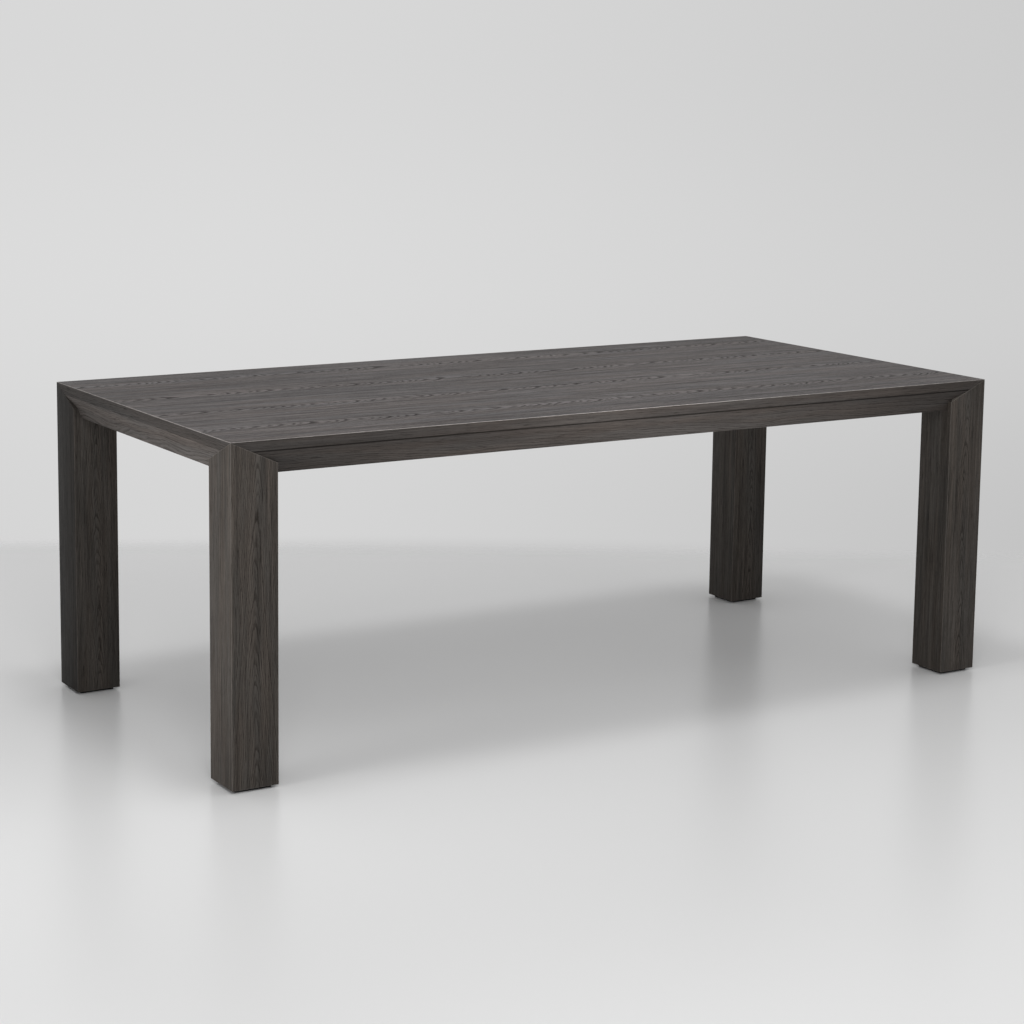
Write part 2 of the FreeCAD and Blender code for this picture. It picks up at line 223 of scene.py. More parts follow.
def copy_of(piece, name, mirror=(1, 1, 1), turn=0.0, shift=(0, 0, 0)):
    """A copy with its own mesh, mirrored, turned and moved into its place, with its faces outwards."""
    pick_up(piece)
    bpy.ops.object.duplicate()
    copy = bpy.context.object
    copy.name = name
    copy.data.name = name
    copy.scale = mirror
    copy.rotation_euler = (0, 0, turn)
    copy.location = shift
    bpy.ops.object.transform_apply(location=True, rotation=True, scale=True)
    open_up(copy)
    bpy.ops.mesh.normals_make_consistent(inside=False)
    close_up()
    return copy


def place_by_turning(piece, turn):
    """Turns a piece about the table's upright axis."""
    pick_up(piece)
    piece.rotation_euler = (0, 0, turn)
    bpy.ops.object.transform_apply(location=True, rotation=True, scale=True)


def across_the_corner(piece, name):
    """A copy of a front left piece, swapped between the long face and the end face."""
    return copy_of(piece, name, mirror=(-1, 1, 1), turn=-math.pi / 2, shift=(LEFT - FRONT, FRONT - LEFT, 0))


def dress(piece, node, material):
    """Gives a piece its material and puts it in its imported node's place."""
    piece.data.materials.clear()
    piece.data.materials.append(material)
    pick_up(piece)
    bpy.ops.object.shade_smooth_by_angle(angle=SMOOTH_SHADING)
    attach(piece, "root")
    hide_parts(node)


# ---- Camera ----

VIEW_TURN = math.radians(31.72)
FRAME_PIXELS = 1024


def look_from(place, turn, fall, lean, focal_pixels, middle_row):
    """A camera for a square frame. Turn is from +Y towards +X, fall is below level, and lean is about
    the view. Middle_row is the row of the frame that the lens is level with."""
    data = bpy.data.cameras.new("table_view")
    data.sensor_width = 36
    data.lens = focal_pixels * data.sensor_width / FRAME_PIXELS
    data.shift_y = (middle_row - FRAME_PIXELS / 2) / FRAME_PIXELS
    camera = bpy.data.objects.new("table_view", data)
    bpy.context.scene.collection.objects.link(camera)
    ahead = Vector((math.sin(turn) * math.cos(fall), math.cos(turn) * math.cos(fall), -math.sin(fall)))
    level = Vector((math.cos(turn), -math.sin(turn), 0))
    upright = level.cross(ahead)
    sideways = math.cos(lean) * level + math.sin(lean) * upright
    upwards = -math.sin(lean) * level + math.cos(lean) * upright
    aim = Matrix((sideways, upwards, -ahead)).transposed().to_4x4()
    camera.matrix_world = Matrix.Translation(place) @ aim
    bpy.context.scene.camera = camera


look_from(
    place=Vector((-3.090, -4.912, 1.585)),
    turn=VIEW_TURN,
    fall=math.radians(8.57),
    lean=math.radians(0.73),
    focal_pixels=2354,
    middle_row=400,
)


# ---- Shader sums ----

class Wire:
    """A shader socket that can be used in sums. Each operator adds its Math node to the same material."""

    def __init__(self, tree, socket=None):
        self.tree = tree
        self.socket = socket

    def node(self, kind, settings=None, sockets=None, output=0):
        """Adds a node, makes its settings, then sets or joins its sockets, and gives one of its outputs."""
        made = self.tree.nodes.new(kind)
        for name, value in (settings or {}).items():
            setattr(made, name, value)
        for key, value in (sockets or {}).items():
            if isinstance(value, Wire):
                self.tree.links.new(value.socket, made.inputs[key])
            else:
                made.inputs[key].default_value = value
        return Wire(self.tree, made.outputs[output]) if made.outputs else None

    def math(self, operation, *values):
        return self.node("ShaderNodeMath", {"operation": operation}, dict(enumerate(values)))

    def __add__(self, other):
        return self.math("ADD", self, other)

    def __sub__(self, other):
        return self.math("SUBTRACT", self, other)

    def __rsub__(self, other):
        return self.math("SUBTRACT", other, self)

    def __mul__(self, other):
        return self.math("MULTIPLY", self, other)

    def __truediv__(self, other):
        return self.math("DIVIDE", self, other)

    def __pow__(self, other):
        return self.math("POWER", self, other)

    def __abs__(self):
        return self.math("ABSOLUTE", self)

    __radd__ = __add__
    __rmul__ = __mul__

    def fraction(self):
        return self.math("FRACT", self)

    def least(self, other):
        return self.math("MINIMUM", self, other)

    def most(self, other):
        return self.math("MAXIMUM", self, other)

    def rise(self, low, high):
        """0 below low, 1 above high, smooth between them."""
        settings = {"interpolation_type": "SMOOTHSTEP"}
        return self.node("ShaderNodeMapRange", settings, {"Value": self, "From Min": low, "From Max": high})

    def mixed(self, zero, one):
        """A colour between two colours, by this share."""
        return self.node("ShaderNodeMix", {"data_type": "RGBA"}, {0: self, 6: zero, 7: one}, 2)

    def scaled(self, share):
        """This colour or vector times a number."""
        return self.node("ShaderNodeVectorMath", {"operation": "SCALE"}, {0: self, "Scale": share})

    def axes(self):
        """The three numbers of a vector."""
        split = self.node("ShaderNodeSeparateXYZ", sockets={0: self})
        outputs = split.socket.node.outputs
        return {axis: Wire(self.tree, outputs[axis]) for axis in "XYZ"}


def blank_material(name):
    material = bpy.data.materials.new(name)
    material.use_nodes = True
    material.node_tree.nodes.clear()
    return material, Wire(material.node_tree)


def surface(bench, colour, roughness, normal, **constants):
    """The material's one Principled shader. Constants are set on its own sockets."""
    sockets = {"Base Color": colour, "Roughness": roughness, "Normal": normal}
    sockets.update({name.replace("_", " "): value for name, value in constants.items()})
    shader = bench.node("ShaderNodeBsdfPrincipled", sockets=sockets)
    bench.node("ShaderNodeOutputMaterial", sockets={"Surface": shader})


def relief(bench, height):
    """A bumped normal from a height in millimetres."""
    return bench.node("ShaderNodeBump", sockets={"Strength": 1.0, "Distance": 1.0, "Height": height * MM})


def millimetres(bench):
    """The place on the object, by axis, in millimetres."""
    place = bench.node("ShaderNodeTexCoord", output="Object")
    return {axis: wire * 1000 for axis, wire in place.axes().items()}


def grey(level, warmth=0.0):
    """A colour from its middle value, with red raised and blue lowered by a share."""
    return (level * (1 + warmth), level, level * (1 - warmth), 1)


def tinted(colour, warmer=1.0, cooler=1.0):
    """A colour of three numbers, with its red and its blue scaled."""
    red, green, blue = colour
    return (red * warmer, green, blue * cooler, 1)


# ---- Grain ----

# Noise that is drawn out along the grain: its length and width in millimetres, its detail, and a shift
# that keeps it apart from the others.
Noise = namedtuple("Noise", "length width detail shift", defaults=[1.0, 0.0])

HEART_WANDER = Noise(520, 900)
HEART_DRIFT = Noise(260, 900, 1.5, 2.3)
RING_WAVER = Noise(42, 14, 2.0, 4.1)
RING_TREMOR = Noise(15, 3.5, 1.0, 9.7)
PORES = Noise(7, 0.42, 0.0, 5.5)
LONG_PORES = Noise(34, 1.5, 1.0, 8.8)
STROKES = Noise(52, 1.7, 1.0, 17.3)
LONG_STREAKS = Noise(420, 9, 2.0, 1.7)
FINE_STREAKS = Noise(95, 3.2, 2.0, 6.6)
BROAD_STREAKS = Noise(360, 26, 2.0, 14.1)
PATCHES = Noise(800, 190, 1.0, 3.9)
GROUND_TINT = Noise(340, 26, 1.0, 12.2)
WEAR_AND_HIGHLIGHT_EDGE = Noise(14, 5, 1.0, 7.7)


class Board:
    """How a board or leaf lies in the tree that it is cut from."""

    def __init__(self, bench, along, across, into, seed):
        place = millimetres(bench)
        self.bench = bench
        self.place = place
        self.along = place[along]
        self.across = place[across]
        self.into = place[into]
        self.seed = seed

    def cloud(self, noise):
        """Noise from 0 to 1."""
        vector = self.bench.node("ShaderNodeCombineXYZ", sockets={
            "X": self.along / noise.length + (self.seed * 7.31 + noise.shift),
            "Y": self.across / noise.width + self.seed * 3.17,
            "Z": self.into / noise.width + noise.shift,
        })
        return self.bench.node("ShaderNodeTexNoise", sockets={
            "Vector": vector, "Scale": 1.0, "Detail": noise.detail, "Roughness": 0.55,
        })

    def sway(self, noise, reach):
        """The same noise, from -reach to +reach about nought."""
        return (self.cloud(noise) - 0.5) * (2 * reach)

    def from_ring_to_ring(self, count, step, detail=0.0):
        """Noise from 0 to 1 that changes from one year's ring to the next."""
        return self.bench.node(
            "ShaderNodeTexNoise", {"noise_dimensions": "1D"},
            {"W": count * step + self.seed * 5, "Scale": 1.0, "Detail": detail},
        )


# ---- Stained oak ----

# How a board is cut: the axes along the grain, across it and into the board; where the tree's heart lies
# across and into; how fast the rings climb along the grain; a ring's width; how far the rings waver, and
# how far the heart drifts. In millimetres.
Cut = namedtuple("Cut", "along across into heart_across heart_into climb ring waver drift", defaults=[16])

# Three colours, the third for worn arrises with a painted highlight, and how strong the lacquer's coat, the
# rings and the stain's streaks are.
Finish = namedtuple("Finish", "latewood earlywood worn lacquer figure streaking")

# Worn arrises with a painted highlight on them: the box that they belong to, how far in the wear and
# highlight reach, in millimetres, how strongly, and on a leg's outer board the place across of the
# shoulder's high end, in millimetres.
ArrisWearAndHighlight = namedtuple("ArrisWearAndHighlight", "body reach share shoulder", defaults=[None])

FACE_OAK = Finish(
    latewood=(0.114, 0.1035, 0.101), earlywood=(0.034, 0.030, 0.029), worn=(0.42, 0.39, 0.37),
    lacquer=0.14, figure=0.85, streaking=1.0,
)
EDGE_OAK = Finish(
    latewood=(0.064, 0.056, 0.051), earlywood=(0.024, 0.021, 0.019), worn=(0.13, 0.117, 0.108),
    lacquer=0.22, figure=0.4, streaking=0.55,
)
LEG_OAK = Finish(
    latewood=(0.056, 0.049, 0.043), earlywood=(0.0185, 0.0155, 0.0130), worn=(0.16, 0.146, 0.132),
    lacquer=0.16, figure=0.5, streaking=0.85,
)
UNDERSIDE_OAK = Finish(
    latewood=(0.042, 0.038, 0.035), earlywood=(0.018, 0.016, 0.015), worn=(0.08, 0.07, 0.065),
    lacquer=0.1, figure=0.6, streaking=1.0,
)
DARK_HARDWOOD = Finish(
    latewood=(0.058, 0.047, 0.039), earlywood=(0.028, 0.022, 0.018), worn=(0.12, 0.10, 0.085),
    lacquer=0.1, figure=0.5, streaking=1.0,
)

# How far the heart wanders, in millimetres, how strong the tremor is against the waver, and how far the
# count of rings strays.
HEART_REACH = 16
TREMOR_SHARE = 0.35
RING_STRAY = 1.3

# The open pores fade out early in a year's ring and start again at its end.
PORES_FADE_OUT = (0.05, 0.6)
PORES_START = (0.88, 1.0)

# Where noise begins to count as a pore, a long pore, a stroke or another shade, and where it counts in
# full.
PORE_CUT = (0.52, 0.66)
LONG_PORE_CUT = (0.52, 0.68)
STROKE_CUT = (0.66, 0.74)
SHADE_CUT = (0.3, 0.7)

# How far streaks and patches go from the middle tone, and how dark pores and strokes are.
LONG_STREAK_REACH = 0.55
FINE_STREAK_REACH = 0.6
BROAD_STREAK_REACH = 0.5
PATCH_REACH = 0.2
PORE_DARK = 0.4
LONG_PORE_DARK = 0.6
STROKE_DARK = 0.8

# Depths in millimetres.
PORE_DEPTH = 0.09
LONG_PORE_DEPTH = 0.07
PORE_ZONE_DEPTH = 0.05
STREAK_HEIGHT = 0.03

OAK_ROUGHNESS = 0.56
DARK_ROUGHER = 0.16
STREAK_SMOOTHER = 0.08
WORN_SMOOTHER = 0.08
COAT_ROUGHNESS = 0.42
OAK_SPECULAR = 0.05

# Darkening at a joint, which is stain gathered between the top's leaves and painted shade in the groove
# under the long sides' bands: how much darker it is, and where it fades out, in millimetres.
STAIN_AND_SHADE_AT_JOINTS = 0.6
STAIN_AND_SHADE_FADE = (0.6, 3.0)


def nearest_arris(board, low, high):
    """Distance in millimetres from a box's nearest arris: the second of the distances from its sides."""
    gaps = []
    for axis, one, other in zip("XYZ", low, high):
        value = board.place[axis]
        gaps.append((value - one * 1000).least(other * 1000 - value))
    first, second, third = gaps
    return first.least(second).most(first.most(second).least(third))


def wear_and_highlight_share(board, arris_wear_and_highlight):
    """1 on an arris or shoulder, falling to 0 at the reach of the wear and painted highlight."""
    gap = nearest_arris(board, *arris_wear_and_highlight.body)
    if arris_wear_and_highlight.shoulder is not None:
        fall = abs(board.across - arris_wear_and_highlight.shoulder) * SHOULDER_SLOPE
        gap = gap.least(VENEER_UNDERSIDE * 1000 - board.along - fall)
    return 1 - (gap + board.sway(WEAR_AND_HIGHLIGHT_EDGE, 1.0)).rise(0.1 * arris_wear_and_highlight.reach, arris_wear_and_highlight.reach)


def year_rings(board, cut):
    """How much of a ring's open-pored zone there is, from 0 to 1."""
    aside = board.across - cut.heart_across + board.sway(HEART_WANDER, HEART_REACH)
    behind = board.into - cut.heart_into + board.sway(HEART_DRIFT, cut.drift)
    waver = board.sway(RING_WAVER, cut.waver) + board.sway(RING_TREMOR, TREMOR_SHARE * cut.waver)
    radius = (aside * aside + behind * behind) ** 0.5 + board.along * cut.climb + waver
    count = radius / cut.ring
    count = count + board.from_ring_to_ring(count, 0.31, 1.0) * RING_STRAY
    phase = count.fraction()
    pore_zone = (1 - phase.rise(*PORES_FADE_OUT)).most(phase.rise(*PORES_START))
    return pore_zone * (0.5 + 0.5 * board.from_ring_to_ring(count, 0.83).rise(*SHADE_CUT))


def stained_oak(name, cut, finish, seed, tone_and_shade=1.0, arris_wear_and_highlight=None, joints=()):
    """Charcoal stained oak. Joints are places across, in millimetres, that are darkened: stain gathered
    between the top's leaves, and painted shade in the groove under a long side's band.
    """
    material, bench = blank_material(name)
    board = Board(bench, cut.along, cut.across, cut.into, seed)

    pore_zone = year_rings(board, cut)
    pores = board.cloud(PORES).rise(*PORE_CUT) * (0.3 + 0.7 * pore_zone)
    long_pores = board.cloud(LONG_PORES).rise(*LONG_PORE_CUT) * (0.3 + 0.7 * pore_zone)
    strokes = board.cloud(STROKES).rise(*STROKE_CUT)
    streaks = board.sway(LONG_STREAKS, LONG_STREAK_REACH) + board.sway(FINE_STREAKS, FINE_STREAK_REACH)
    streaks = (streaks + board.sway(BROAD_STREAKS, BROAD_STREAK_REACH)) * finish.streaking
    patches = board.sway(PATCHES, PATCH_REACH)

    dark = finish.figure * pore_zone + LONG_PORE_DARK * long_pores + PORE_DARK * pores
    dark = (dark + STROKE_DARK * strokes).least(1.0)
    warm, cool = tinted(finish.latewood, 1.04, 0.98), tinted(finish.latewood, 0.97, 1.03)
    ground = board.cloud(GROUND_TINT).rise(*SHADE_CUT).mixed(warm, cool)
    # The colour is scaled by a leaf's own tone, or by the painted light and shade of a band, an apron or a
    # leg board.
    colour = dark.mixed(ground, tinted(finish.earlywood)).scaled((1 + streaks + patches).most(0.2) * tone_and_shade)
    lacquer = (finish.lacquer * (1 - 0.8 * dark + 0.6 * streaks)).most(0.0)
    roughness = OAK_ROUGHNESS + DARK_ROUGHER * dark - STREAK_SMOOTHER * streaks
    height = STREAK_HEIGHT * streaks - PORE_ZONE_DEPTH * pore_zone
    height = height - LONG_PORE_DEPTH * long_pores - PORE_DEPTH * pores

    # Darkening at each joint: stain gathered between the top's leaves, and painted shade in the groove
    # under a long side's band.
    for joint in joints:
        stain_and_shade = 1 - abs(board.across - joint).rise(*STAIN_AND_SHADE_FADE)
        colour = colour.scaled(1 - STAIN_AND_SHADE_AT_JOINTS * stain_and_shade)
        lacquer = lacquer * (1 - stain_and_shade)
    # Worn arrises and shoulders get a lighter colour, partly wear and partly a painted highlight.
    if arris_wear_and_highlight:
        worn = wear_and_highlight_share(board, arris_wear_and_highlight)
        colour = (worn * (arris_wear_and_highlight.share * min(tone_and_shade, 1))).mixed(colour, tinted(finish.worn))
        roughness = roughness - WORN_SMOOTHER * worn
    surface(
        bench, colour, roughness, relief(bench, height),
        Coat_Weight=lacquer, Coat_Roughness=COAT_ROUGHNESS, Specular_IOR_Level=OAK_SPECULAR,
    )
    return material


# ---- Plain woods, metal and pads ----

PlainWood = namedtuple("PlainWood", "streaks flecks light shade fleck")

BEECH = PlainWood(
    streaks=Noise(180, 9, 2.0, 1.1), flecks=Noise(2.4, 0.4, 1.0, 4.4),
    light=(0.55, 0.38, 0.235, 1), shade=(0.49, 0.335, 0.20, 1), fleck=(0.36, 0.225, 0.125, 1),
)
FIBREBOARD = PlainWood(
    streaks=Noise(14, 14, 2.0, 1.1), flecks=Noise(1.6, 0.5, 1.0, 4.4),
    light=(0.38, 0.285, 0.19, 1), shade=(0.34, 0.25, 0.165, 1), fleck=(0.25, 0.175, 0.11, 1),
)
ZINC_CLOUDING = Noise(5, 5, 2.0, 0.7)
ZINC_DRAW_LINES = Noise(9, 0.25, 1.0, 2.9)
RUBBER_GRAIN = Noise(0.9, 0.9, 2.0, 0.3)
RUBBER_DUST = Noise(16, 16, 2.0, 5.2)


def plain_wood(name, wood, seed):
    """Wood or board left bare inside."""
    material, bench = blank_material(name)
    board = Board(bench, "Z", "X", "Y", seed)
    streaks = board.cloud(wood.streaks)
    flecks = board.cloud(wood.flecks).rise(0.55, 0.68)
    colour = (0.55 * flecks).mixed(streaks.rise(*SHADE_CUT).mixed(wood.light, wood.shade), wood.fleck)
    height = -0.02 * flecks + 0.02 * streaks
    surface(bench, colour, 0.62 + 0.12 * flecks, relief(bench, height), Specular_IOR_Level=0.3)
    return material


def zinc_plate():
    """Bright zinc with the faint clouding of a passivated plate."""
    material, bench = blank_material("zinc_plated_steel")
    board = Board(bench, "Z", "X", "Y", 3)
    clouding = board.cloud(ZINC_CLOUDING).rise(*SHADE_CUT)
    drawn = board.cloud(ZINC_DRAW_LINES)
    colour = clouding.mixed((0.56, 0.58, 0.61, 1), (0.63, 0.62, 0.57, 1))
    roughness = 0.26 + 0.14 * clouding + 0.08 * drawn
    surface(bench, colour, roughness, relief(bench, 0.006 * drawn), Metallic=1.0)
    return material


def shaded_black_rubber():
    """Matt black pad, slightly grained and dusty. Its black is deepened past the rubber's own to paint the
    contact shade under the legs.
    """
    material, bench = blank_material("black_rubber_pad")
    board = Board(bench, "X", "Y", "Z", 8)
    grain = board.cloud(RUBBER_GRAIN)
    dust = board.cloud(RUBBER_DUST).rise(0.45, 0.8)
    # The pad's black is deepened past the rubber's own to paint the contact shade under the legs.
    colour = (0.4 * dust).mixed(grey(0.006), grey(0.024, 0.06))
    surface(bench, colour, 0.78 + 0.12 * dust, relief(bench, 0.04 * grain), Specular_IOR_Level=0.2)
    return material


# ---- Top ----

TABLE_BODY = (cad_low, cad_high)

# Where the heart of each leaf's tree lies: its place across, and its height from the top's face, which
# is below it. In millimetres.
LEAF_HEARTS = {1: (388, -62), 2: (142, -70), 3: (-96, -58), 4: (-336, -66), 5: (-392, -80)}
LEAF_TONES = {1: 1.0, 2: 0.94, 3: 1.0, 4: 0.96, 5: 0.98}


def veneer_leaf(number):
    node = f"top_veneer_leaf_{number}"
    low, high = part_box(node)
    leaf = block(f"face_leaf_{number}", low, high)

    def on_outline(one, other):
        if not (near(one.z, TOP) and near(other.z, TOP)):
            return False
        ends = near(one.x, other.x) and (near(one.x, LEFT) or near(one.x, RIGHT))
        sides = near(one.y, other.y) and (near(one.y, FRONT) or near(one.y, REAR))
        return ends or sides

    ease(leaf, on_outline, TOP_EDGE_EASE, segments=3)
    across, above = LEAF_HEARTS[number]
    joints = [side * 1000 for side in (low.y, high.y) if not near(side, FRONT) and not near(side, REAR)]
    cut = Cut("X", "Y", "Z", across, TOP * 1000 + above, climb=0.125, ring=3.8, waver=1.8)
    # The top's outline gets a lighter arris, partly wear and partly a painted highlight.
    arris_wear_and_highlight = ArrisWearAndHighlight(TABLE_BODY, reach=1.8, share=0.55)
    oak = stained_oak(f"oak_face_leaf_{number}", cut, FACE_OAK, number, LEAF_TONES[number], arris_wear_and_highlight, joints)
    dress(leaf, node, oak)


# ---- The band under the top's edge ----

def edge_strip(name, half, offset):
    """The band along the front of a table of a given half length, whose face is at y = -offset."""
    low = Vector((-half, -offset, BAND_UNDERSIDE))
    high = Vector((half, -offset + LEG_BOARD, VENEER_UNDERSIDE))
    strip = block(name, low, high)
    outwards = Vector((0, -1, 0))
    for side in (-1, 1):
        corner = Vector((side * half, -offset, VENEER_UNDERSIDE))
        under_shoulder = Vector((side * SHOULDER_SLOPE, 0, -1)).normalized()
        saw(strip, corner, Vector((side, 1, 0)))
        saw(strip, corner, under_shoulder)
        ease_line(strip, corner, outwards, under_shoulder, JOINT_EASE)
    ease_line(strip, low, outwards, Vector((0, 0, -1)), BAND_GROOVE)
    return strip


def edge_strips():
    front = edge_strip("band_front", RIGHT, -FRONT)
    rear = copy_of(front, "band_rear", mirror=(1, -1, 1))
    left_end = edge_strip("band_left_end", REAR, -LEFT)
    place_by_turning(left_end, -math.pi / 2)
    right_end = copy_of(left_end, "band_right_end", mirror=(-1, 1, 1))
    return {"front": front, "rear": rear, "left_end": left_end, "right_end": right_end}


# ---- Aprons ----

def apron(name, node, outer_place):
    """An apron with its outer face's edges eased. Outer_place gives how far in from the table's outline
    a point is."""
    piece = merged_copy(name, node)

    def on_outer_face(one, other):
        return all(
            abs(outer_place(point) - face_setback(point.z)) < ON_LEANING_FACE for point in (one, other)
        )

    def under_the_band(one, other):
        return on_outer_face(one, other) and min(one.z, other.z) > BAND_UNDERSIDE - 1 * MM

    ease(piece, under_the_band, BAND_GROOVE)
    ease(piece, on_outer_face, JOINT_EASE)
    return piece


def face_setback(height):
    """How far an apron's outer face has leant in at a height."""
    return APRON_SETBACK * (BAND_UNDERSIDE - height) / (BAND_UNDERSIDE - APRON_BOTTOM)


def aprons():
    front = apron("rail_front", "apron_front", lambda point: point.y - FRONT)
    left_end = apron("rail_left_end", "apron_left_end", lambda point: point.x - LEFT)
    return {
        "front": front,
        "rear": copy_of(front, "rail_rear", mirror=(1, -1, 1)),
        "left_end": left_end,
        "right_end": copy_of(left_end, "rail_right_end", mirror=(-1, 1, 1)),
    }


# ---- Oak of the bands and aprons ----

# Each side's band and apron is made lighter or darker to paint the light and shade that falls on that side
# of the table.
BAND_LIGHT_AND_SHADE = {"front": 0.66, "rear": 0.62, "left_end": 0.535, "right_end": 0.6}
RAIL_LIGHT_AND_SHADE = {"front": 0.62, "rear": 0.7, "left_end": 1.06, "right_end": 0.85}

# The height of the heart of the tree that they are cut from, in millimetres.
SIDE_HEART = 640


def side_oak(kind, side, seed, tone_and_shade):
    """Oak for a band or apron, with its grain level and its side's painted light and shade. Only the long
    sides get painted shade along the groove at the band's underside.
    """
    ends = "end" in side
    outer = {"front": FRONT, "rear": REAR, "left_end": LEFT, "right_end": RIGHT}[side] * 1000
    along, into = ("Y", "X") if ends else ("X", "Y")
    cut = Cut(along, "Z", into, SIDE_HEART, outer * 1.06, climb=0.02, ring=2.6, waver=1.2)
    # The long sides get painted shade in the groove between band and apron; the ends get none.
    joints = () if ends else (BAND_UNDERSIDE * 1000,)
    return stained_oak(f"oak_{kind}_{side}", cut, EDGE_OAK, seed, tone_and_shade, joints=joints)


# ---- Legs ----

CORNERS = {
    "front_left": (1, 1, 1),
    "front_right": (-1, 1, 1),
    "rear_left": (1, -1, 1),
    "rear_right": (-1, -1, 1),
}
DOWN = Vector((0, 0, -1))
TO_FRONT, TO_REAR = Vector((0, -1, 0)), Vector((0, 1, 0))
TO_LEFT, TO_RIGHT = Vector((-1, 0, 0)), Vector((1, 0, 0))

# Each leg board is made lighter or darker to paint the light and shade that falls on it: the far leg's end
# face and the faces under the table are painted darker.
LEG_LIGHT_AND_SHADE = {
    "leg_front_left_outer_side_board": 0.94,
    "leg_front_left_outer_end_board": 0.86,
    "leg_front_right_outer_side_board": 1.0,
    "leg_front_right_inner_side_board": 0.65,
    "leg_rear_left_outer_end_board": 0.36,
    "leg_rear_left_inner_end_board": 0.72,
    "leg_rear_right_inner_side_board": 0.62,
    "leg_rear_right_inner_end_board": 0.78,
}
# Boards that aren't listed get this painted shade.
USUAL_LEG_LIGHT_AND_SHADE = 0.85


def leg_face_board():
    """The front left leg's board in the table's front face."""
    left_corner = Vector((LEFT, FRONT, LEG_FOOT))
    right_corner = left_corner + LEG_SIZE * TO_RIGHT
    top_corner = Vector((right_corner.x, FRONT + LEG_BOARD, VENEER_UNDERSIDE))
    board = block("leg_front_left_face_side", left_corner, top_corner)
    tip = Vector((LEFT, FRONT, VENEER_UNDERSIDE))
    over_shoulder = Vector((SHOULDER_SLOPE, 0, 1)).normalized()
    saw(board, left_corner, TO_LEFT + TO_REAR)
    saw(board, right_corner, TO_RIGHT + TO_REAR)
    saw(board, tip, over_shoulder)
    round_arris(board, left_corner, TO_FRONT, TO_LEFT)
    round_arris(board, right_corner, TO_FRONT, TO_RIGHT)
    ease_line(board, tip, TO_FRONT, over_shoulder, JOINT_EASE)
    ease_line(board, left_corner, TO_FRONT, DOWN, FOOT_EASE)
    return board


def leg_inside_board():
    """The front left leg's board that faces along the table."""
    board = merged_copy("leg_front_left_inside_side", "leg_front_left_inner_side_board")
    front_corner = Vector((LEFT + LEG_SIZE, FRONT, LEG_FOOT))
    rear_corner = front_corner + LEG_SIZE * TO_REAR
    round_arris(board, front_corner, TO_RIGHT, TO_FRONT)
    round_arris(board, rear_corner, TO_RIGHT, TO_REAR)
    ease_line(board, front_corner, TO_RIGHT, DOWN, FOOT_EASE)
    return board


def leg_boards():
    """All sixteen boards by node, copied from the front left leg's."""
    face_side = leg_face_board()
    inside_side = leg_inside_board()
    modelled = {
        "outer_side_board": face_side,
        "outer_end_board": across_the_corner(face_side, "leg_front_left_face_end"),
        "inner_side_board": inside_side,
        "inner_end_board": across_the_corner(inside_side, "leg_front_left_inside_end"),
    }
    boards = {}
    for corner, mirror in CORNERS.items():
        for part, piece in modelled.items():
            name = piece.name.replace("front_left", corner)
            here = piece if corner == "front_left" else copy_of(piece, name, mirror)
            boards[f"leg_{corner}_{part}"] = here
    return boards


def leg_oak(name, node, seed):
    """Flame figure on the boards that face across the table, straight grain on the others."""
    low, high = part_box(node)
    middle = (low + high) * 500
    if "outer_side" in node or "inner_end" in node:
        cut = Cut("Z", "X", "Y", middle.x + 3, middle.y, climb=0.08, ring=2.9, waver=2.0, drift=6)
        shoulder = (LEFT if middle.x < 0 else RIGHT) * 1000
    else:
        heart = middle.x + math.copysign(60, -middle.x)
        cut = Cut("Z", "Y", "X", middle.y - 150, heart, climb=0.006, ring=3.0, waver=1.0)
        shoulder = (FRONT if middle.y < 0 else REAR) * 1000
    place = "_".join(node.split("_")[1:3])
    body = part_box(f"leg_{place}_outer_side_board")
    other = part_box(f"leg_{place}_inner_side_board")
    body = (Vector(map(min, body[0], other[0])), Vector(map(max, body[1], other[1])))
    # Arrises and, on outer boards, the shoulder get a lighter colour, partly wear and partly a painted
    # highlight.
    arris_wear_and_highlight = ArrisWearAndHighlight(body, reach=2.2, share=0.33, shoulder=shoulder if "outer" in node else None)
    # The board's colour is scaled by its painted light and shade.
    return stained_oak(f"oak_{name}", cut, LEG_OAK, seed, LEG_LIGHT_AND_SHADE.get(node, USUAL_LEG_LIGHT_AND_SHADE), arris_wear_and_highlight)


def foot_pads():
    """All four pads by node, copied from the front left one."""
    first = merged_copy("pad_front_left", "foot_pad_front_left")
    low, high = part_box("foot_pad_front_left")
    middle, half = (low + high) / 2, (high - low) / 2

    def upright_corner(one, other):
        at_corner = near(abs(one.x - middle.x), half.x) and near(abs(one.y - middle.y), half.y)
        return at_corner and abs(one.z - other.z) > PAD_CLIMB

    def lower_outline(one, other):
        if one.z > ON_ONE_PLANE or other.z > ON_ONE_PLANE:
            return False
        return all(
            min(point.x - low.x, high.x - point.x, point.y - low.y, high.y - point.y) < PAD_OUTLINE
            for point in (one, other)
        )

    ease(first, upright_corner, PAD_CORNER, segments=4)
    ease(first, lower_outline, PAD_EASE, segments=2)
    return {
        f"foot_pad_{corner}": first if corner == "front_left" else copy_of(first, f"pad_{corner}", mirror)
        for corner, mirror in CORNERS.items()
    }


# ---- Stiffening under the top ----

def eased_bar(name, node):
    """A stiffening piece with its long arrises eased."""
    piece = merged_copy(name, node)

    def long_lower_edge(one, other):
        return (one - other).length > SHORTEST_BAR_EDGE and min(one.z, other.z) < BAR_EASED_BELOW

    ease(piece, long_lower_edge, BAR_EASE)
    return piece


def stay(number, seed):
    """A cross rail, with its grain along it."""
    node = f"cross_rail_{number}"
    middle = sum(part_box(node), Vector()) * 500
    cut = Cut("Y", "X", "Z", middle.x + 70, middle.z + 40, climb=0.01, ring=2.2, waver=0.8)
    bar = eased_bar(f"stay_{number}", node)
    dress(bar, node, stained_oak(f"stay_wood_{number}", cut, DARK_HARDWOOD, seed))


